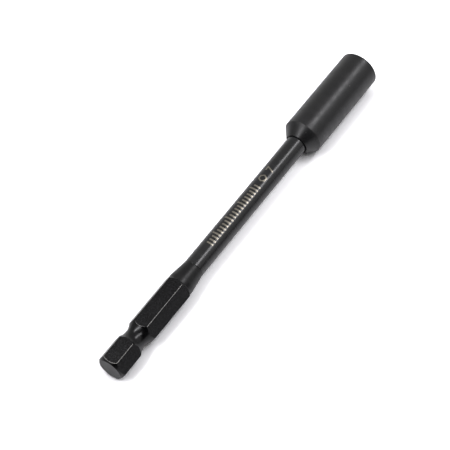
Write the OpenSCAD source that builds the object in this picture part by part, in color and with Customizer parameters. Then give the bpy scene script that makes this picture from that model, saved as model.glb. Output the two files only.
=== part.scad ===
// Nut driver bit: a hex drive bar with a round shaft, pressed into a hex socket head.
// The tool lies along +X. Its origin is the centre of the drive end face, with a drive flat facing +Z.

/* [Drive shank] */
// Width of the hex drive across its flats
hex_af = 6.35; // [5.5:0.05:8]
// Length of the hex drive, from the end face to the turned shoulder
hex_l = 24.7; // [16:0.1:60]
// Length of the end chamfer, measured along a hex corner
drive_chamfer_l = 0.8; // [0.5:0.05:2.5]
// Angle of the end chamfer, from the tool's axis
drive_chamfer_angle = 45; // [20:1:60]
// Distance from the end face to the middle of the ball groove
groove_x = 9.15; // [7:0.05:12]
// Depth of the ball groove below the flats
groove_depth = 0.55; // [0.2:0.05:1]
// Radius of the ball groove's hollow
groove_r = 3.7; // [2.5:0.05:6]
// Length of the turned shoulder that ends the hex corners
shoulder_l = 0.7; // [0.3:0.05:2]
// How far the round neck behind the shoulder lies below the flats
neck_drop = 0.05; // [0.02:0.01:0.15]
// Length of the round neck, from the shoulder to the taper
neck_l = 1.1; // [0.5:0.1:6]

/* [Shaft] */
// Diameter of the round shaft
shaft_d = 5.05; // [3.5:0.05:5.8]
// Length of the taper between the neck and the round shaft
taper_l = 4.5; // [3:0.1:20]
// Length of the round shaft that shows, from the taper to the socket head
shaft_l = 42.4; // [15:0.1:150]

/* [Nut recess] */
// Nut size, across its flats
nut_af = 7; // [5:0.1:13]
// Clearance across the flats of the nut
nut_clearance = 0.1; // [0.02:0.01:0.2]
// Depth of the hex recess
nut_depth = 15.4; // [5:0.1:40]
// Length of the round clearance below the hex recess
relief_l = 2.1; // [0.5:0.1:10]
// Length of the cone that the drill's point leaves below the clearance
drill_point_l = 0.7; // [0.3:0.05:2]
// How much wider the pilot drilling is than the hex flats
pilot_over = 0.2; // [0.1:0.05:0.4]
// How far the lead-in cone reaches past the hex corners
lead_in_over = 0.2; // [0.05:0.05:0.4]

/* [Socket head] */
// Wall of the socket head at the corners of the hex recess
socket_wall = 0.85; // [0.7:0.05:4]
// Length of the back taper
back_l = 2.7; // [1:0.1:8]
// Width of the back face around its recess
back_land = 0.1; // [0.05:0.05:0.6]
// Gap between the shaft and the wall of the recess in the back face
recess_gap = 0.25; // [0.1:0.05:0.6]
// Depth of the recess in the back face
recess_depth = 0.3; // [0.1:0.05:1]
// Size of the chamfer around the mouth
rim_chamfer = 0.2; // [0.05:0.05:0.35]

/* [Press joint] */
// Length of the bore that holds the shaft, from the back face
press_l = 10; // [4:0.1:30]
// Interference of the shaft in its bore, on the diameter
press_overlap = 0.02; // [0.01:0.005:0.04]
// Lead chamfer on the shaft's hidden end
spigot_chamfer = 0.4; // [0.1:0.05:1]
// Distance from the shaft's hidden end to the end of its bore
spigot_setback = 0.5; // [0:0.1:2]

/* [Hidden] */
$fn = 96;

hex_sides = 6;
half_side_angle = 180 / hex_sides;
// Overrun of every cut past the surface that it opens
overrun = 0.5;

// Radii and places of the drive bar
hex_corner_r = hex_af / 2 / cos(half_side_angle);
stock_r = hex_corner_r + overrun;
drive_end_r = hex_corner_r - drive_chamfer_l * tan(drive_chamfer_angle);
drive_stock_x = drive_chamfer_l + overrun / tan(drive_chamfer_angle);
groove_floor_r = hex_af / 2 - groove_depth;
neck_r = hex_af / 2 - neck_drop;
shoulder_stock_x = hex_l - overrun * shoulder_l / (hex_corner_r - neck_r);
neck_x = hex_l + shoulder_l;
taper_x = neck_x + neck_l;
shaft_r = shaft_d / 2;
shaft_x = taper_x + taper_l;
socket_x = shaft_x + shaft_l;
bar_l = socket_x + press_l - spigot_setback;

// Radii and places of the socket head, measured from its back face
recess_r = shaft_r + recess_gap;
back_r = recess_r + back_land;
bore_r = (shaft_d - press_overlap) / 2;
nut_space = nut_af + nut_clearance;
nut_corner_r = nut_space / 2 / cos(half_side_angle);
socket_r = nut_corner_r + socket_wall;
pilot_r = (nut_space + pilot_over) / 2;
pilot_x = press_l + drill_point_l;
nut_x = pilot_x + relief_l;
socket_l = nut_x + nut_depth;
lead_in_r = nut_corner_r + lead_in_over;
lead_in_l = lead_in_r - pilot_r;

// Turns a shape that stands on +Z so that it lies along +X
module along_x() {
    rotate([0, 90, 0]) children();
}

// Hexagonal prism along +X with a flat facing up, from a width across its flats
module hex_prism(af, length) {
    along_x()
        rotate(half_side_angle)
            cylinder(d = af / cos(half_side_angle), h = length, $fn = hex_sides);
}

// Solid turned about the tool's axis, from an outline of radius and distance
module turned(outline) {
    along_x() rotate_extrude() polygon(outline);
}

// Outline that the hex stock is turned to: end chamfer, shoulder, neck, taper, shaft and pressed end
module bar_turning() {
    turned([
        [0, 0],
        [drive_end_r, 0],
        [stock_r, drive_stock_x],
        [stock_r, shoulder_stock_x],
        [neck_r, neck_x],
        [neck_r, taper_x],
        [shaft_r, shaft_x],
        [shaft_r, bar_l - spigot_chamfer],
        [shaft_r - spigot_chamfer, bar_l],
        [0, bar_l]
    ]);
}

// Round-bottomed ring groove for the balls of a quick-change chuck
module ball_groove() {
    translate([groove_x, 0, 0])
        along_x()
            rotate_extrude()
                translate([groove_floor_r + groove_r, 0])
                    circle(r = groove_r);
}

// One bar of hex stock: drive shank, neck, taper, round shaft and the end pressed into the socket head
module drive_bar() {
    color([0.13, 0.13, 0.14])
        difference() {
            intersection() {
                translate([-overrun, 0, 0]) hex_prism(hex_af, bar_l + 2 * overrun);
                bar_turning();
            }
            ball_groove();
        }
}

// Outside of the socket head: back taper, cylinder and mouth chamfer
module socket_turning() {
    turned([
        [0, 0],
        [back_r, 0],
        [socket_r, back_l],
        [socket_r, socket_l - rim_chamfer],
        [socket_r - rim_chamfer, socket_l],
        [0, socket_l]
    ]);
}

// Drilled inside of the socket head: back recess, press bore, pilot drilling and lead-in cone
module socket_drilling() {
    turned([
        [0, -overrun],
        [recess_r, -overrun],
        [recess_r, recess_depth],
        [bore_r, recess_depth],
        [bore_r, press_l],
        [pilot_r, pilot_x],
        [pilot_r, socket_l - lead_in_l],
        [lead_in_r + overrun, socket_l + overrun],
        [0, socket_l + overrun]
    ]);
}

// Socket head with its broached hex recess, pressed on the round shaft
module socket_head() {
    color([0.19, 0.19, 0.2])
        translate([socket_x, 0, 0])
            difference() {
                socket_turning();
                socket_drilling();
                translate([nut_x, 0, 0]) hex_prism(nut_space, nut_depth + overrun);
            }
}

drive_bar();
socket_head();
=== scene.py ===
"""Nut driver bit: looks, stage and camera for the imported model, in metres and in the model's own frame."""
import math

import bpy
from bpy.props import FloatProperty, FloatVectorProperty, PointerProperty
from mathutils import Matrix, Quaternion, Vector


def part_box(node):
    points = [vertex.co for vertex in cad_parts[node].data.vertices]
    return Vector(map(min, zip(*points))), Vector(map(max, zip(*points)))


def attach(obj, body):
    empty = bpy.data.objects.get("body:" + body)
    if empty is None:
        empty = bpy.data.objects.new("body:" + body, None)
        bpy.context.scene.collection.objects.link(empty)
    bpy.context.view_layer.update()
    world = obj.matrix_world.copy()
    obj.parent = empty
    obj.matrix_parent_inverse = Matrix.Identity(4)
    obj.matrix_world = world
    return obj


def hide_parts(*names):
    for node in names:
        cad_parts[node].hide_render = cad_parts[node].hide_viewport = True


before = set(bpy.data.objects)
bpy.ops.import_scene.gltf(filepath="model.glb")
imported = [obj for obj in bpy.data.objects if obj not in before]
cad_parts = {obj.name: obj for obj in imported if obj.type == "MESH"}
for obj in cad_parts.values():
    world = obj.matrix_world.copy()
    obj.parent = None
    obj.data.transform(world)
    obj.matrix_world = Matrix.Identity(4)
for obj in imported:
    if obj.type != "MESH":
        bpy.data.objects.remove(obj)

bl_info = {
    "name": "Nut driver bit",
    "version": (1, 0, 0),
    "blender": (4, 5, 0),
    "location": "View3D > Sidebar > Nut driver",
    "description": "Models a hex drive bar pressed into a nut socket, with its stage",
    "category": "Add Mesh",
}

MM = 0.001

# Places that the frame gives
HEAD_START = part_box("socket_head")[0].x
HEAD_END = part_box("socket_head")[1].x
BAR_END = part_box("drive_bar")[1].x

# Hexagons of the drive and of the nut recess
HEX_SIDES = 6
HALF_SIDE_ANGLE = math.pi / HEX_SIDES

# Fineness of the turned and rounded meshes
TURN_STEPS = 192
GROOVE_STEPS = 40
RIDGE_STEPS = 12
EASE_STEPS = 3
EASE_FROM = math.radians(25)
SMOOTH_UP_TO = math.radians(6)
OVERRUN = 0.5 * MM
MERGE = 0.0005 * MM

# Slots of the bar's materials
FLATS, WORN, TURNED, SHAFT, EASED = range(5)

# Ranges that hold most of a noise's values, and the middle of them
NOISE_RANGE = (0.3, 0.7)
NOISE_MIDDLE = (0.35, 0.65)
# Depth of the finest relief in the metal
FINE_RELIEF = 0.01 * MM

# Sockets of a Mix node that mixes colours
MIX_FACTOR, MIX_FIRST, MIX_SECOND, MIX_RESULT = 0, 6, 7, 2


def corner_radius(width):
    """Distance from a hexagon's middle to its corners, from its width across the flats."""
    return width / 2 / math.cos(HALF_SIDE_ANGLE)


def cosines(wide, narrow):
    """Cosines of two angles in degrees, measured from a direction."""
    return math.cos(math.radians(wide)), math.cos(math.radians(narrow))


def sines(low, high):
    """Sines of two angles in degrees, measured from the horizon."""
    return math.sin(math.radians(low)), math.sin(math.radians(high))


# Settings

def length(name, description, value):
    """A length in millimetres as a property in metres."""
    return FloatProperty(name=name, description=description, default=value * MM, min=0.0,
                         precision=5, subtype="DISTANCE", unit="LENGTH")


def colour(name, description, value):
    """A linear colour property."""
    return FloatVectorProperty(name=name, description=description, default=value, size=3,
                               min=0.0, max=1.0, subtype="COLOR")


def amount(name, description, value, unit="NONE"):
    """A brightness, power or other plain number as a property."""
    return FloatProperty(name=name, description=description, default=value, min=0.0, unit=unit)


class BarSizes(bpy.types.PropertyGroup):
    """Sizes of the drive bar."""
    hex_width: length("Hex width", "Width of the drive across its flats", 6.35)
    hex_length: length("Hex length", "From the end face to the turned shoulder", 24.7)
    chamfer_length: length("End chamfer", "Length of the end chamfer along a hex corner", 0.8)
    chamfer_angle: FloatProperty(name="Chamfer angle", description="From the tool's axis",
                                 default=math.radians(45), subtype="ANGLE", unit="ROTATION")
    groove_place: length("Groove place", "From the end face to the middle of the ball groove", 9.15)
    groove_depth: length("Groove depth", "Depth of the ball groove below the flats", 0.55)
    groove_radius: length("Groove radius", "Radius of the ball groove's hollow", 3.7)
    shoulder_length: length("Shoulder", "Length of the shoulder that ends the hex corners", 0.7)
    neck_drop: length("Neck depth", "How far the round neck lies below the flats", 0.05)
    neck_length: length("Neck", "Length of the round neck before the taper", 1.1)
    taper_length: length("Taper", "From the neck to the round shaft", 4.5)
    undercut: length("Undercut", "Depth of the narrow undercut between the taper and the shaft", 0.07)
    shaft_width: length("Shaft diameter", "Diameter of the round shaft", 5.05)
    end_chamfer: length("Hidden chamfer", "Lead chamfer on the pressed end", 0.4)
    ridge_round: length("Hex corner rounding", "How far each hex corner is rounded back", 0.05)
    wear_width: length("Wear", "Width of the worn rim beside the end chamfer", 0.22)
    edge_ease: length("Eased edges", "How far the other edges are eased", 0.035)


class HeadSizes(bpy.types.PropertyGroup):
    """Sizes of the socket head."""
    nut_width: length("Nut recess", "Width of the hex recess across its flats", 7.1)
    nut_depth: length("Recess depth", "Depth of the hex recess", 15.4)
    drill_point: length("Drill point", "Length of the cone that ends the pilot drilling", 0.7)
    pilot_over: length("Pilot", "How much wider the pilot drilling is than the recess", 0.2)
    lead_in_over: length("Lead-in", "How far the lead-in reaches past the recess corners", 0.2)
    wall: length("Wall", "Wall at the corners of the recess", 0.85)
    back_taper: length("Back taper", "Length of the conical back", 2.7)
    back_land: length("Back land", "Width of the back face around its ring recess", 0.1)
    ring_gap: length("Ring gap", "Gap between the shaft and the ring recess", 0.25)
    ring_depth: length("Ring depth", "Depth of the ring recess", 0.3)
    rim_chamfer: length("Rim chamfer", "Chamfer around the mouth", 0.2)
    press_length: length("Press bore", "Length of the bore that holds the shaft", 10.0)
    edge_ease: length("Eased edges", "How far the edges are eased", 0.03)


class Finish(bpy.types.PropertyGroup):
    """Colours of the steel."""
    oxide: colour("Black oxide", "Black of the hex and the taper", (0.0025, 0.0025, 0.0027))
    satin: colour("Satin black", "Black of the shaft and the head", (0.007, 0.007, 0.0074))
    bare: colour("Bare steel", "Steel that shows along worn edges", (0.52, 0.51, 0.49))
    etched: colour("Etched steel", "Steel that shows in the etched marks", (0.34, 0.315, 0.262))


class Stage(bpy.types.PropertyGroup):
    """Floor, lamps and camera."""
    floor: colour("Floor", "Colour of the floor", (0.86, 0.86, 0.87))
    left_power: amount("Left lamp", "Power of the left strip lamp", 1.05, "POWER")
    right_power: amount("Right lamp", "Power of the right strip lamp", 0.63, "POWER")
    far_power: amount("Far lamp", "Power of the right strip's far length", 0.4, "POWER")
    lamp_colour: colour("Lamp colour", "Colour of the lamps", (0.98, 0.97, 1.0))
    walls: amount("Walls", "Brightness of the pale room", 0.4)
    panel: amount("Panel", "Extra brightness of the pale panel", 0.62)
    wall: amount("Right wall", "Extra brightness of the right wall", 0.3)
    back: amount("Back wall", "Extra brightness of the back wall", 0.08)
    sweep: amount("Backdrop", "Extra brightness of the backdrop near the floor", 0.5)
    shine: amount("Floor in view", "Extra brightness of the floor in view", 1.08)
    lens: amount("Lens", "Focal length on a 36 mm sensor, in mm", 114.21)


# Helpers for the mesh tools

def deselect():
    """Leaves edit mode and drops every selection."""
    if bpy.context.object and bpy.context.object.mode != "OBJECT":
        bpy.ops.object.mode_set(mode="OBJECT")
    bpy.ops.object.select_all(action="DESELECT")


def make_active(piece):
    """Selects one piece alone."""
    deselect()
    piece.select_set(True)
    bpy.context.view_layer.objects.active = piece


def named(name):
    """Names the object that was just added, and puts its place into its mesh."""
    piece = bpy.context.object
    piece.name = name
    piece.data.name = name
    bpy.ops.object.transform_apply(location=True, rotation=True, scale=True)
    return piece


def turned(name, outline, hollow=False):
    """Draws a ring along the axis through an outline of (distance, radius).

    A hollow outline ends where it starts.
    """
    deselect()
    x, radius = outline[0]
    bpy.ops.mesh.primitive_circle_add(vertices=TURN_STEPS, radius=radius,
                                      fill_type="NOTHING" if hollow else "NGON",
                                      location=(x, 0, 0), rotation=(0, math.pi / 2, 0))
    piece = named(name)
    bpy.ops.object.mode_set(mode="EDIT")
    bpy.ops.mesh.select_all(action="SELECT")
    # Half a step of turn keeps the facets' lines off the hex corners
    bpy.ops.transform.rotate(value=math.pi / TURN_STEPS, orient_axis="X", center_override=(x, 0, 0))
    for next_x, next_radius in outline[1:]:
        bpy.ops.mesh.extrude_region_move(TRANSFORM_OT_translate={"value": (next_x - x, 0, 0)})
        if next_radius != radius:
            scale = next_radius / radius
            bpy.ops.transform.resize(value=(1, scale, scale), center_override=(next_x, 0, 0))
        x, radius = next_x, next_radius
    bpy.ops.mesh.select_all(action="SELECT")
    bpy.ops.mesh.remove_doubles(threshold=MERGE)
    bpy.ops.mesh.normals_make_consistent(inside=False)
    bpy.ops.object.mode_set(mode="OBJECT")
    return piece


def hex_prism(name, width, start, end):
    """Hexagonal prism along the axis, with a flat facing up."""
    deselect()
    bpy.ops.mesh.primitive_cylinder_add(vertices=HEX_SIDES, radius=corner_radius(width),
                                        depth=end - start, location=((start + end) / 2, 0, 0),
                                        rotation=(0, math.pi / 2, 0))
    return named(name)


def round_ridges(piece, width, slot):
    """Rounds the long edges of a prism in edit mode."""
    make_active(piece)
    bpy.context.tool_settings.mesh_select_mode = (False, True, False)
    bpy.ops.object.mode_set(mode="EDIT")
    bpy.ops.mesh.select_all(action="DESELECT")
    bpy.ops.object.mode_set(mode="OBJECT")
    places = [vertex.co for vertex in piece.data.vertices]
    for edge in piece.data.edges:
        first, second = edge.vertices
        edge.select = abs(places[first].x - places[second].x) > width
    bpy.ops.object.mode_set(mode="EDIT")
    bpy.ops.mesh.bevel(offset=width, segments=RIDGE_STEPS, affect="EDGES", material=slot)
    bpy.ops.object.mode_set(mode="OBJECT")


def finish_with(piece, label, kind, **options):
    """Adds a modifier with its options and applies it."""
    make_active(piece)
    modifier = piece.modifiers.new(label, kind)
    for option, value in options.items():
        setattr(modifier, option, value)
    bpy.ops.object.modifier_apply(modifier=modifier.name)


def cut(piece, tool, operation):
    """Cuts or trims a piece with another, which is then removed."""
    finish_with(piece, "Cut", "BOOLEAN", operation=operation, solver="EXACT",
                material_mode="TRANSFER", object=tool)
    mesh = tool.data
    bpy.data.objects.remove(tool)
    bpy.data.meshes.remove(mesh)
    if not piece.data.polygons:
        raise RuntimeError(piece.name + " lost its faces in a cut")


def clean(piece):
    """Merges doubles and drops faces without area."""
    make_active(piece)
    bpy.ops.object.mode_set(mode="EDIT")
    bpy.ops.mesh.select_all(action="SELECT")
    bpy.ops.mesh.remove_doubles(threshold=MERGE)
    bpy.ops.mesh.dissolve_degenerate(threshold=MERGE)
    bpy.ops.mesh.normals_make_consistent(inside=False)
    bpy.ops.object.mode_set(mode="OBJECT")


def ease_and_smooth(piece, width, slot):
    """Eases the sharp edges and smooths the turned faces, with every flat face left flat."""
    finish_with(piece, "Eased edges", "BEVEL", width=width, segments=EASE_STEPS, limit_method="ANGLE",
                angle_limit=EASE_FROM, use_clamp_overlap=False, material=slot)
    make_active(piece)
    bpy.ops.object.shade_smooth_by_angle(angle=SMOOTH_UP_TO, keep_sharp_edges=False)
    finish_with(piece, "Face normals", "WEIGHTED_NORMAL", keep_sharp=True)


def set_slots(piece, materials):
    """Gives a piece its material slots."""
    piece.data.materials.clear()
    for material in materials:
        piece.data.materials.append(material)


def paint_faces(piece, slot, chosen):
    """Gives the faces that are chosen by their middle one of the piece's slots."""
    for face in piece.data.polygons:
        if chosen(face.center):
            face.material_index = slot


# Helpers for the shader nodes

def add_node(tree, kind, inputs=None, **options):
    """Adds a node, sets its options, and links or fills its inputs."""
    made = tree.nodes.new(kind)
    for option, value in options.items():
        setattr(made, option, value)
    for socket, value in (inputs or {}).items():
        if isinstance(value, bpy.types.NodeSocket):
            tree.links.new(value, made.inputs[socket])
        else:
            made.inputs[socket].default_value = value
    return made


def maths(tree, operation, first, second=0.0, third=0.0):
    """One Math node's value."""
    return add_node(tree, "ShaderNodeMath", {0: first, 1: second, 2: third}, operation=operation).outputs[0]


def product(tree, first, *others):
    """Two or more values multiplied."""
    for other in others:
        first = maths(tree, "MULTIPLY", first, other)
    return first


def largest(tree, first, *others):
    """The largest of two or more values."""
    for other in others:
        first = maths(tree, "MAXIMUM", first, other)
    return first


def away(tree, value, place):
    """How far a value lies from a place, on either side."""
    return maths(tree, "ABSOLUTE", maths(tree, "SUBTRACT", value, place))


def between(tree, value, low, high):
    """One where a value lies between two bounds, and zero elsewhere."""
    return product(tree, maths(tree, "GREATER_THAN", value, low), maths(tree, "LESS_THAN", value, high))


def ramp(tree, value, low, high, start, end):
    """A value mapped smoothly from one range to another."""
    return add_node(tree, "ShaderNodeMapRange", {"Value": value, "From Min": low, "From Max": high,
                                                 "To Min": start, "To Max": end},
                    interpolation_type="SMOOTHSTEP").outputs["Result"]


def facing(tree, way, side):
    """Cosine between a direction and a fixed side."""
    return add_node(tree, "ShaderNodeVectorMath", {0: way, 1: side.normalized()},
                    operation="DOT_PRODUCT").outputs["Value"]


def parts_of(tree, vector):
    """The X, Y and Z of a vector."""
    return add_node(tree, "ShaderNodeSeparateXYZ", {"Vector": vector}).outputs


def turn_of(tree, parts):
    """Angle round the tool's axis."""
    return maths(tree, "ARCTAN2", parts["Z"], parts["Y"])


def mixed(tree, factor, first, second):
    """Two colours mixed by a mask."""
    ends = [end if isinstance(end, bpy.types.NodeSocket) else (*end, 1.0) for end in (first, second)]
    inputs = {MIX_FACTOR: factor, MIX_FIRST: ends[0], MIX_SECOND: ends[1]}
    return add_node(tree, "ShaderNodeMix", inputs, data_type="RGBA").outputs[MIX_RESULT]


def scaled(tone, share):
    """A colour made lighter or darker."""
    return tuple(part * share for part in tone)


def shades(tree, factor, tone, darkest, palest):
    """A mask turned into shades of one colour, between two shares of it."""
    return mixed(tree, factor, scaled(tone, darkest), scaled(tone, palest))


def relief(tree, height, strength, depth):
    """Normal of a surface that a height raises by up to a depth."""
    return add_node(tree, "ShaderNodeBump", {"Height": height, "Strength": strength,
                                             "Distance": depth}).outputs["Normal"]


# Shader groups

def new_group(name, inputs, outputs):
    """A shader group with named sockets; gives its tree, its inputs and its outputs.

    An input without a value of its own is a vector.
    """
    tree = bpy.data.node_groups.new(name, "ShaderNodeTree")
    for label, value in inputs.items():
        kind = "NodeSocketVector" if value is None else "NodeSocketFloat"
        socket = tree.interface.new_socket(label, in_out="INPUT", socket_type=kind)
        if value is not None:
            socket.default_value = value
    for label in outputs:
        tree.interface.new_socket(label, in_out="OUTPUT", socket_type="NodeSocketFloat")
    given = tree.nodes.new("NodeGroupInput").outputs
    result = tree.nodes.new("NodeGroupOutput").inputs
    return tree, given, result


def grain_group():
    """Grain of blackened steel: a fine height, a slow mottle, and specks where the black is missing."""
    slow_share = 0.06
    speck_scale = 420.0
    speckless_share = 0.45
    speck_core, speck_edge, speck_strength = 0.02, 0.055, 0.35
    tree, given, result = new_group("Oxide grain", {"Vector": None, "Fineness": 9000.0},
                                    ["Height", "Mottle", "Specks"])
    place = given["Vector"]
    fine = add_node(tree, "ShaderNodeTexNoise", {"Vector": place, "Scale": given["Fineness"],
                                                 "Detail": 2.0, "Roughness": 0.6})
    slow_scale = maths(tree, "MULTIPLY", given["Fineness"], slow_share)
    slow = add_node(tree, "ShaderNodeTexNoise", {"Vector": place, "Scale": slow_scale,
                                                 "Detail": 3.0, "Roughness": 0.55})
    # Only some of the cells hold a speck
    cells = add_node(tree, "ShaderNodeTexVoronoi", {"Vector": place, "Scale": speck_scale}).outputs
    lot = add_node(tree, "ShaderNodeSeparateColor", {"Color": cells["Color"]}).outputs["Red"]
    chosen = maths(tree, "GREATER_THAN", lot, speckless_share)
    dots = ramp(tree, cells["Distance"], speck_core, speck_edge, speck_strength, 0.0)
    tree.links.new(fine.outputs["Fac"], result["Height"])
    tree.links.new(slow.outputs["Fac"], result["Mottle"])
    tree.links.new(product(tree, dots, chosen), result["Specks"])
    return tree


def turning_group():
    """Marks of the lathe: rings along the axis that waver a little round it, and wider bands."""
    waver_scale = 250.0
    waver_reach = 0.12 * MM
    band_share = 0.09
    tree, given, result = new_group("Turning marks", {"Vector": None, "Rings": 9000.0}, ["Height", "Bands"])
    waver = add_node(tree, "ShaderNodeTexNoise", {"Vector": given["Vector"], "Scale": waver_scale,
                                                  "Detail": 1.0}).outputs["Fac"]
    place = maths(tree, "ADD", parts_of(tree, given["Vector"])["X"], product(tree, waver, waver_reach))
    along = product(tree, place, given["Rings"])
    rings = add_node(tree, "ShaderNodeTexNoise", {"W": along, "Scale": 1.0, "Detail": 2.0,
                                                  "Roughness": 0.7}, noise_dimensions="1D")
    bands = add_node(tree, "ShaderNodeTexNoise", {"W": product(tree, along, band_share), "Scale": 1.0,
                                                  "Detail": 2.0}, noise_dimensions="1D")
    tree.links.new(rings.outputs["Fac"], result["Height"])
    tree.links.new(bands.outputs["Fac"], result["Bands"])
    return tree


def scale_lines(tree, x, y):
    """Scale lines, 1 mm apart, with every fifth one longer; all lengths in millimetres."""
    start, end, width, long_every = 37.0, 57.0, 0.42, 5.0
    bottom, short_top, long_rise = -1.15, 0.55, 0.6
    line = maths(tree, "LESS_THAN", away(tree, maths(tree, "FRACT", x), 0.5), width / 2)
    count = maths(tree, "MODULO", maths(tree, "FLOOR", x), long_every)
    longer = maths(tree, "LESS_THAN", count, 0.5)
    top = maths(tree, "MULTIPLY_ADD", longer, long_rise, short_top)
    return product(tree, line, between(tree, y, bottom, top), between(tree, x, start, end))


def hexagon_ring(tree, x, y):
    """Outline of a small hexagon; all lengths in millimetres."""
    middle, outer, inner = 59.2, 0.95, 0.62
    up = maths(tree, "ABSOLUTE", y)
    half_up = product(tree, up, math.sin(HALF_SIDE_ANGLE))
    slant = maths(tree, "MULTIPLY_ADD", away(tree, x, middle), math.cos(HALF_SIDE_ANGLE), half_up)
    return between(tree, largest(tree, slant, up), inner, outer)


def number_seven(tree, x, y):
    """The nut size as a plain number: a top bar and a slanted leg; all lengths in millimetres."""
    middle, half_width, half_height, stroke, lean = 62.3, 0.65, 1.0, 0.36, 0.42
    bar = product(tree, between(tree, x, middle - half_width, middle + half_width),
                  between(tree, y, half_height - stroke, half_height))
    below_top = maths(tree, "SUBTRACT", y, half_height)
    leg_middle = maths(tree, "MULTIPLY_ADD", below_top, lean, middle + half_width - stroke / 2)
    leg = product(tree, maths(tree, "LESS_THAN", away(tree, x, leg_middle), stroke / 2),
                  between(tree, y, -half_height, half_height))
    return largest(tree, bar, leg)


def etched_group():
    """Etched marks on top of the shaft: a plain scale, a hexagon and the nut size."""
    tree, given, result = new_group("Etched marks", {"Vector": None}, ["Mask"])
    parts = parts_of(tree, given["Vector"])
    x = maths(tree, "DIVIDE", parts["X"], MM)
    y = maths(tree, "DIVIDE", parts["Y"], MM)
    marks = largest(tree, *[mark(tree, x, y) for mark in (scale_lines, hexagon_ring, number_seven)])
    upper = maths(tree, "GREATER_THAN", parts["Z"], 0.0)
    tree.links.new(product(tree, marks, upper), result["Mask"])
    return tree


def shared_groups():
    """The shader groups, built once."""
    makers = {"grain": ("Oxide grain", grain_group), "turning": ("Turning marks", turning_group),
              "etched": ("Etched marks", etched_group)}
    return {key: bpy.data.node_groups.get(name) or make() for key, (name, make) in makers.items()}


# Materials

def new_material(name):
    """An empty node material with its output, shader and object coordinates."""
    material = bpy.data.materials.new(name)
    material.use_nodes = True
    tree = material.node_tree
    tree.nodes.clear()
    shader = tree.nodes.new("ShaderNodeBsdfPrincipled")
    add_node(tree, "ShaderNodeOutputMaterial", {"Surface": shader.outputs["BSDF"]})
    coords = tree.nodes.new("ShaderNodeTexCoord").outputs["Object"]
    return material, tree, shader, coords


def use_group(tree, group, inputs):
    """Places a shared group with its own values."""
    return add_node(tree, "ShaderNodeGroup", inputs, node_tree=group).outputs


def fill_shader(tree, shader, specular, inputs):
    """Links what varies over the surface to a shader, and sets its specular level."""
    for socket, value in inputs.items():
        tree.links.new(value, shader.inputs[socket])
    shader.inputs["Specular IOR Level"].default_value = specular


def flats_material(groups, finish, sizes):
    """Black oxide on the drawn hex flats, with a ragged worn rim at the end of every other flat."""
    ragged_share = 1.6
    rim_start_share, rim_end_share = 0.7, 1.2
    rim_bare = 0.8
    material, tree, shader, coords = new_material("Black oxide flats")
    grain = use_group(tree, groups["grain"], {"Vector": coords, "Fineness": 3200.0})
    contrast = ramp(tree, grain["Height"], *NOISE_MIDDLE, start=0.0, end=1.0)
    black = shades(tree, contrast, finish.oxide, darkest=0.0, palest=4.6)
    parts = parts_of(tree, coords)
    # Every other flat lies where this wave is below zero
    wave = maths(tree, "SINE", product(tree, turn_of(tree, parts), HEX_SIDES / 2))
    gripped = maths(tree, "LESS_THAN", wave, 0.0)
    slope = math.tan(sizes.chamfer_angle)
    end_radius = corner_radius(sizes.hex_width) - sizes.chamfer_length * slope
    chamfer = maths(tree, "MULTIPLY_ADD", parts["X"], slope, end_radius)
    radius = maths(tree, "SQRT", maths(tree, "MULTIPLY_ADD", parts["Y"], parts["Y"],
                                       product(tree, parts["Z"], parts["Z"])))
    inside = maths(tree, "SUBTRACT", chamfer, radius)
    ragged = maths(tree, "MULTIPLY_ADD", grain["Height"], ragged_share * sizes.wear_width, inside)
    rim = ramp(tree, ragged, rim_start_share * sizes.wear_width, rim_end_share * sizes.wear_width,
               start=rim_bare, end=0.0)
    patches = ramp(tree, grain["Mottle"], 0.3, 0.6, start=0.2, end=1.0)
    worn = product(tree, rim, gripped, patches)
    fill_shader(tree, shader, specular=0.29, inputs={
        "Base Color": mixed(tree, worn, black, finish.bare),
        "Metallic": worn,
        "Roughness": ramp(tree, grain["Mottle"], *NOISE_RANGE, start=0.2, end=0.26),
        "Normal": relief(tree, grain["Height"], strength=0.9, depth=3 * FINE_RELIEF),
    })
    return material


def worn_material(groups, finish, sizes):
    """Edges where the black has rubbed through to bare steel in places."""
    material, tree, shader, coords = new_material("Worn edges")
    grain = use_group(tree, groups["grain"], {"Vector": coords, "Fineness": 12000.0})
    parts = parts_of(tree, coords)
    # One at a hex corner, minus one in the middle of a flat
    corner = maths(tree, "COSINE", product(tree, turn_of(tree, parts), HEX_SIDES))
    ahead = ramp(tree, corner, -1.0, 1.0, start=0.4, end=0.75)
    flat_end = ramp(tree, corner, -0.5, 0.4, start=0.5, end=0.12)
    ridge = ramp(tree, corner, 0.94, 0.99, start=0.0, end=0.75)
    behind = largest(tree, flat_end, ridge)
    past_groove = maths(tree, "GREATER_THAN", parts["X"], sizes.groove_place)
    bared = maths(tree, "MULTIPLY_ADD", past_groove, maths(tree, "SUBTRACT", behind, ahead), ahead)
    rubbed = product(tree, bared, ramp(tree, grain["Mottle"], *NOISE_RANGE, start=0.7, end=1.0))
    fill_shader(tree, shader, specular=0.5, inputs={
        "Base Color": mixed(tree, rubbed, scaled(finish.oxide, share=1.5), finish.bare),
        "Metallic": rubbed,
        "Roughness": ramp(tree, grain["Height"], *NOISE_RANGE, start=0.3, end=0.4),
    })
    return material


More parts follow.
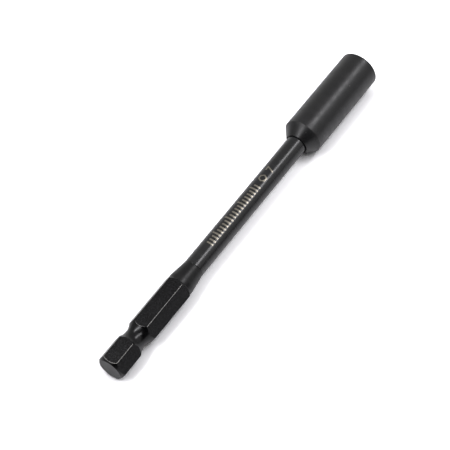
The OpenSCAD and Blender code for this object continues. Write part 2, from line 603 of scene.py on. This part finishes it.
def turned_material(groups, finish, sizes):
    """Black oxide on turned faces: end, taper, and the chamfer and groove, which are smoother."""
    smoother = -0.15
    material, tree, shader, coords = new_material("Black oxide turned")
    grain = use_group(tree, groups["grain"], {"Vector": coords, "Fineness": 9000.0})
    marks = use_group(tree, groups["turning"], {"Vector": coords, "Rings": 8000.0})
    shank_end = sizes.groove_place + sizes.groove_radius
    shank = between(tree, parts_of(tree, coords)["X"], sizes.edge_ease, shank_end)
    rough = ramp(tree, marks["Bands"], *NOISE_RANGE, start=0.33, end=0.4)
    fill_shader(tree, shader, specular=0.41, inputs={
        "Base Color": shades(tree, grain["Mottle"], finish.oxide, darkest=0.7, palest=1.5),
        "Roughness": maths(tree, "MULTIPLY_ADD", shank, smoother, rough),
        "Normal": relief(tree, marks["Height"], strength=0.15, depth=FINE_RELIEF),
    })
    return material


def shaft_material(groups, finish):
    """Satin black shaft with fine turning marks and the etched marks."""
    etched_rougher = 0.12
    material, tree, shader, coords = new_material("Satin black shaft")
    grain = use_group(tree, groups["grain"], {"Vector": coords, "Fineness": 9000.0})
    marks = use_group(tree, groups["turning"], {"Vector": coords, "Rings": 9000.0})
    etched = use_group(tree, groups["etched"], {"Vector": coords})["Mask"]
    black = shades(tree, grain["Mottle"], finish.satin, darkest=1.1, palest=1.9)
    rough = ramp(tree, marks["Bands"], *NOISE_RANGE, start=0.22, end=0.28)
    fill_shader(tree, shader, specular=0.62, inputs={
        "Base Color": mixed(tree, etched, black, finish.etched),
        "Metallic": etched,
        "Roughness": maths(tree, "MULTIPLY_ADD", etched, etched_rougher, rough),
        "Normal": relief(tree, marks["Height"], strength=0.1, depth=FINE_RELIEF),
    })
    return material


def head_material(groups, finish):
    """Satin black over the fine turning marks of the socket head, with a few bare specks."""
    material, tree, shader, coords = new_material("Satin black head")
    grain = use_group(tree, groups["grain"], {"Vector": coords, "Fineness": 3500.0})
    marks = use_group(tree, groups["turning"], {"Vector": coords, "Rings": 5000.0})
    contrast = ramp(tree, grain["Height"], *NOISE_MIDDLE, start=0.0, end=1.0)
    black = shades(tree, contrast, finish.satin, darkest=0.65, palest=1.3)
    height = maths(tree, "ADD", marks["Height"], grain["Height"])
    fill_shader(tree, shader, specular=0.63, inputs={
        "Base Color": mixed(tree, grain["Specks"], black, finish.bare),
        "Roughness": ramp(tree, marks["Bands"], *NOISE_RANGE, start=0.33, end=0.4),
        "Normal": relief(tree, height, strength=0.4, depth=FINE_RELIEF),
    })
    return material


# Operators

class DriveBar(bpy.types.Operator):
    """Models the drive bar: hex stock, turned to its chamfer, groove, taper and shaft"""
    bl_idname = "nut_driver.drive_bar"
    bl_label = "Drive bar"

    # How far below the flats the worn rim of the end chamfer reaches
    rim_reach = 0.125 * MM
    # Where wear stops and starts on the wave that is one at a hex corner and minus one on a flat
    groove_wear_end = 0.75
    shoulder_wear_start = 0.8

    def outline(self, sizes):
        """Distances and radii that the hex stock is turned to."""
        corner = corner_radius(sizes.hex_width)
        stock = corner + OVERRUN
        slope = math.tan(sizes.chamfer_angle)
        end_radius = corner - sizes.chamfer_length * slope
        points = [(0.0, end_radius), (sizes.chamfer_length + OVERRUN / slope, stock)]
        # The groove's hollow, out to where it leaves the stock
        hollow = sizes.groove_radius
        middle = sizes.hex_width / 2 - sizes.groove_depth + hollow
        half = math.acos((middle - stock) / hollow)
        for step in range(GROOVE_STEPS + 1):
            angle = half * (2 * step / GROOVE_STEPS - 1)
            place = sizes.groove_place + hollow * math.sin(angle)
            points.append((place, middle - hollow * math.cos(angle)))
        shaft = sizes.shaft_width / 2
        neck = sizes.hex_width / 2 - sizes.neck_drop
        neck_start = sizes.hex_length + sizes.shoulder_length
        taper_start = neck_start + sizes.neck_length
        taper_end = taper_start + sizes.taper_length
        taper_slope = (neck - shaft) / sizes.taper_length
        shoulder_slope = sizes.shoulder_length / (corner - neck)
        points += [(sizes.hex_length - OVERRUN * shoulder_slope, stock),
                   (neck_start, neck),
                   (taper_start, neck),
                   (taper_end - 2 * sizes.undercut, shaft + 2 * sizes.undercut * taper_slope),
                   (taper_end - sizes.undercut, shaft - sizes.undercut),
                   (taper_end, shaft),
                   (BAR_END - sizes.end_chamfer, shaft),
                   (BAR_END, shaft - sizes.end_chamfer)]
        return points

    def is_worn(self, middle, sizes):
        """Whether an eased edge is bare: by the ends of every other flat, or at a hex corner's shoulder."""
        turn = math.atan2(middle.z, middle.y)
        gripped = math.sin(HEX_SIDES / 2 * turn) < 0
        # One at a hex corner, minus one in the middle of a flat
        corner = math.cos(HEX_SIDES * turn)
        on_rim = middle.yz.length > sizes.hex_width / 2 - self.rim_reach
        at_end = on_rim and middle.x < 2 * sizes.chamfer_length
        behind_groove = sizes.groove_depth < middle.x - sizes.groove_place < sizes.groove_radius
        on_flat = behind_groove and corner < self.groove_wear_end
        at_shoulder = abs(middle.x - sizes.hex_length) < sizes.shoulder_length / 2
        return gripped and (at_end or on_flat) or at_shoulder and corner > self.shoulder_wear_start

    def wear_edges(self, bar, sizes):
        """Bares the worn eased edges and blackens the others."""
        for face in bar.data.polygons:
            if face.material_index == EASED:
                face.material_index = WORN if self.is_worn(face.center, sizes) else TURNED
        bar.data.materials.pop(index=EASED)

    def execute(self, context):
        sizes = context.scene.nut_driver_bar
        finish = context.scene.nut_driver_finish
        groups = shared_groups()
        materials = [flats_material(groups, finish, sizes), worn_material(groups, finish, sizes),
                     turned_material(groups, finish, sizes), shaft_material(groups, finish)]
        bar = hex_prism("drive_bar_steel", sizes.hex_width, -OVERRUN, BAR_END + OVERRUN)
        set_slots(bar, materials)
        round_ridges(bar, sizes.ridge_round, WORN)
        turning = turned("bar_turning", self.outline(sizes))
        set_slots(turning, materials)
        shaft_start = sizes.hex_length + sizes.shoulder_length + sizes.neck_length + sizes.taper_length
        paint_faces(turning, TURNED, lambda middle: middle.x <= shaft_start)
        paint_faces(turning, SHAFT, lambda middle: middle.x > shaft_start)
        cut(bar, turning, "INTERSECT")
        clean(bar)
        bar.data.materials.append(materials[TURNED])
        ease_and_smooth(bar, sizes.edge_ease, EASED)
        self.wear_edges(bar, sizes)
        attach(bar, "root")
        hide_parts("drive_bar")
        return {"FINISHED"}


class SocketHead(bpy.types.Operator):
    """Models the socket head: turned outside and inside, with a broached hex recess"""
    bl_idname = "nut_driver.socket_head"
    bl_label = "Socket head"

    def execute(self, context):
        sizes = context.scene.nut_driver_head
        shaft = context.scene.nut_driver_bar.shaft_width / 2
        finish = context.scene.nut_driver_finish
        groups = shared_groups()
        start, end = HEAD_START, HEAD_END
        corner = corner_radius(sizes.nut_width)
        outside = corner + sizes.wall
        pilot = (sizes.nut_width + sizes.pilot_over) / 2
        lead_in = corner + sizes.lead_in_over
        ring = shaft + sizes.ring_gap
        head = turned("socket_head_steel", [
            (start + sizes.ring_depth, shaft),
            (start + sizes.ring_depth, ring),
            (start, ring),
            (start, ring + sizes.back_land),
            (start + sizes.back_taper, outside),
            (end - sizes.rim_chamfer, outside),
            (end, outside - sizes.rim_chamfer),
            (end, lead_in),
            (end - (lead_in - pilot), pilot),
            (start + sizes.press_length + sizes.drill_point, pilot),
            (start + sizes.press_length, shaft),
            (start + sizes.ring_depth, shaft),
        ], hollow=True)
        set_slots(head, [head_material(groups, finish)])
        broach = hex_prism("nut_broach", sizes.nut_width, end - sizes.nut_depth, end + OVERRUN)
        set_slots(broach, list(head.data.materials))
        cut(head, broach, "DIFFERENCE")
        clean(head)
        ease_and_smooth(head, sizes.edge_ease, 0)
        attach(head, "root")
        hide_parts("socket_head")
        return {"FINISHED"}


class StageSet(bpy.types.Operator):
    """Lays the pale floor, three strip lamps in a pale room, and the camera"""
    bl_idname = "nut_driver.stage"
    bl_label = "Stage"

    # The tool lies on its drive end and on the back edge of its socket head
    rest_drive = Vector((0.309, 0.0, -3.175)) * MM
    rest_head = Vector((76.1, 0.0, -4.949)) * MM
    floor_span = 4.0
    floor_roughness = 0.25
    # Share of the extra brightness that mirrored views of the floor get
    mirrored_share = 0.05
    # Reach of the painted shade: how far from the tool the floor in view is darkened towards it, as a
    # painted contact shadow
    painted_shadow_reach = 3.0 * MM
    # Strips overhead to the left and right of the camera, the right one in two lengths.
    # Each has its place over the floor, its length and width, and its heading.
    lamp_height = 400 * MM
    lamps = {"left": ((-85 * MM, 145 * MM), (400 * MM, 95 * MM), math.radians(27)),
             "right": ((94 * MM, -216 * MM), (305 * MM, 110 * MM), math.radians(24)),
             "far": ((326 * MM, -158 * MM), (190 * MM, 110 * MM), 0.0)}
    # The room is dark on the camera's side, and low on the right.
    # A side has edges round it, and a patch that stands on the horizon also has a top.
    dark_side, dark_edge, dark_top = Vector((-0.63, -0.777, 0.0)), cosines(60, 48), sines(62, 80)
    low_side, low_edge, low_top = Vector((0.0, -1.0, 0.0)), cosines(34, 19), sines(14, 26)
    # It is paler at the back, most of all near the floor.
    # It is also paler on a wall to the right and on a panel to the left.
    back_side, back_edge = Vector((0.94, 0.342, 0.0)), cosines(65, 30)
    sweep_side, sweep_edge, sweep_top = Vector((0.788, 0.616, 0.0)), cosines(50, 22), sines(2, 30)
    wall_side, wall_edge = Vector((0.497, -0.709, 0.5)), cosines(34, 14)
    panel_side, panel_edge = Vector((-0.79, 0.335, 0.515)), cosines(15, 9)
    # Camera, with its sensor in millimetres, as the lens is
    camera_place = Vector((-100.81, -126.44, 266.37)) * MM
    camera_aim = Vector((44.83, 0.92, 0.0)) * MM
    camera_roll = math.radians(7.54)
    camera_sensor = 36.0
    camera_near = 10 * MM

    def floor_material(self, stage):
        """Pale satin board that stays white round the object and keeps its shadow, with painted shade that
        darkens the floor in view near the tool.
        """
        material = bpy.data.materials.new("Floor board")
        material.use_nodes = True
        tree = material.node_tree
        tree.nodes.clear()
        board = add_node(tree, "ShaderNodeBsdfPrincipled", {"Base Color": (*stage.floor, 1.0),
                                                            "Roughness": self.floor_roughness})
        path = tree.nodes.new("ShaderNodeLightPath").outputs
        mirrored = largest(tree, path["Is Glossy Ray"], path["Is Transmission Ray"])
        seen = maths(tree, "MULTIPLY_ADD", mirrored, self.mirrored_share, path["Is Camera Ray"])
        # Painted shade: ambient occlusion darkens the floor's extra brightness near the tool, a painted
        # contact shadow
        painted_contact_shade = add_node(tree, "ShaderNodeAmbientOcclusion", {"Distance": self.painted_shadow_reach})
        extra = product(tree, seen, painted_contact_shade.outputs["AO"], stage.shine)
        glow = add_node(tree, "ShaderNodeBsdfDiffuse", {"Color": extra})
        both = add_node(tree, "ShaderNodeAddShader", {0: board.outputs[0], 1: glow.outputs[0]})
        add_node(tree, "ShaderNodeOutputMaterial", {"Surface": both.outputs[0]})
        return material

    def lay_floor(self, stage):
        """A wide plane under the tool's two rests."""
        run = self.rest_head - self.rest_drive
        tilt = math.atan2(-run.z, run.x)
        deselect()
        bpy.ops.mesh.primitive_plane_add(size=self.floor_span, location=self.rest_drive,
                                         rotation=(0, tilt, 0))
        floor = named("floor")
        set_slots(floor, [self.floor_material(stage)])

    def hang_lamp(self, name, over, size, heading, power, tint):
        """One strip lamp, pointed at the middle of the tool."""
        along = Vector((math.cos(heading), math.sin(heading), 0.0))
        place = Vector((*over, self.lamp_height))
        back = (place - self.camera_aim).normalized()
        long_way = (along - back * along.dot(back)).normalized()
        turn = Matrix((long_way, back.cross(long_way), back)).transposed().to_euler()
        deselect()
        bpy.ops.object.light_add(type="AREA", location=place, rotation=turn)
        lamp = bpy.context.object
        lamp.name = name
        lamp.data.shape = "RECTANGLE"
        lamp.data.size, lamp.data.size_y = size
        lamp.data.energy = power
        lamp.data.color = tint

    def paint_room(self, stage):
        """A pale room that is dark towards the camera's side."""
        world = bpy.context.scene.world or bpy.data.worlds.new("Room")
        bpy.context.scene.world = world
        world.use_nodes = True
        tree = world.node_tree
        tree.nodes.clear()
        way = tree.nodes.new("ShaderNodeTexCoord").outputs["Generated"]
        flat = add_node(tree, "ShaderNodeVectorMath", {0: way, 1: (1.0, 1.0, 0.0)}, operation="MULTIPLY")
        level = add_node(tree, "ShaderNodeVectorMath", {0: flat.outputs[0]},
                         operation="NORMALIZE").outputs[0]
        height = parts_of(tree, way)["Z"]

        def patch(side, edge, top, strength):
            """A patch of the room that stands on the horizon round one side."""
            across = ramp(tree, facing(tree, level, side), *edge, 0.0, 1.0)
            return product(tree, across, ramp(tree, height, *top, strength, 0.0))

        low = patch(self.low_side, self.low_edge, self.low_top, 1.0)
        front = patch(self.dark_side, self.dark_edge, self.dark_top, 1.0)
        sweep = patch(self.sweep_side, self.sweep_edge, self.sweep_top, stage.sweep)
        wall = ramp(tree, facing(tree, way, self.wall_side), *self.wall_edge, stage.walls,
                    stage.walls + stage.wall)
        back = ramp(tree, facing(tree, level, self.back_side), *self.back_edge, 0.0, stage.back)
        paler = maths(tree, "ADD", maths(tree, "ADD", wall, back), sweep)
        lit = maths(tree, "SUBTRACT", 1.0, largest(tree, low, front))
        panel = ramp(tree, facing(tree, way, self.panel_side), *self.panel_edge, 0.0, stage.panel)
        light = maths(tree, "MULTIPLY_ADD", lit, paler, panel)
        room = add_node(tree, "ShaderNodeBackground", {"Strength": light})
        add_node(tree, "ShaderNodeOutputWorld", {"Surface": room.outputs[0]})

    def set_camera(self, stage):
        """The camera at the photo's angle."""
        turn = (self.camera_aim - self.camera_place).to_track_quat("-Z", "Y")
        turn = turn @ Quaternion((0, 0, 1), -self.camera_roll)
        deselect()
        bpy.ops.object.camera_add(location=self.camera_place, rotation=turn.to_euler())
        camera = bpy.context.object
        camera.name = "camera"
        camera.data.sensor_width = self.camera_sensor
        camera.data.lens = stage.lens
        camera.data.clip_start = self.camera_near
        bpy.context.scene.camera = camera

    def execute(self, context):
        stage = context.scene.nut_driver_stage
        self.lay_floor(stage)
        for name, lamp in self.lamps.items():
            power = getattr(stage, name + "_power")
            self.hang_lamp("lamp_" + name, *lamp, power, stage.lamp_colour)
        self.paint_room(stage)
        self.set_camera(stage)
        context.scene.view_settings.view_transform = "Standard"
        return {"FINISHED"}


class BuildPanel(bpy.types.Panel):
    """Lists the pieces of the nut driver bit and their settings"""
    bl_idname = "NUTDRIVER_PT_build"
    bl_label = "Nut driver bit"
    bl_space_type = "VIEW_3D"
    bl_region_type = "UI"
    bl_category = "Nut driver"

    def draw(self, context):
        for operator in OPERATORS:
            self.layout.operator(operator.bl_idname)
        for holder in HOLDERS:
            settings = getattr(context.scene, holder)
            for name in settings.bl_rna.properties.keys():
                if name not in ("rna_type", "name"):
                    self.layout.prop(settings, name)


OPERATORS = (DriveBar, SocketHead, StageSet)
HOLDERS = {"nut_driver_bar": BarSizes, "nut_driver_head": HeadSizes,
           "nut_driver_finish": Finish, "nut_driver_stage": Stage}
CLASSES = (*HOLDERS.values(), *OPERATORS, BuildPanel)


def register():
    """Adds the classes and their settings."""
    for kind in CLASSES:
        bpy.utils.register_class(kind)
    for holder, group in HOLDERS.items():
        setattr(bpy.types.Scene, holder, PointerProperty(type=group))


def unregister():
    """Removes the classes and their settings."""
    for holder in HOLDERS:
        delattr(bpy.types.Scene, holder)
    for kind in reversed(CLASSES):
        bpy.utils.unregister_class(kind)


def main():
    """Builds the pieces and the stage."""
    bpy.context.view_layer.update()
    register()
    bpy.ops.nut_driver.drive_bar()
    bpy.ops.nut_driver.socket_head()
    bpy.ops.nut_driver.stage()


if __name__ == "__main__":
    main()
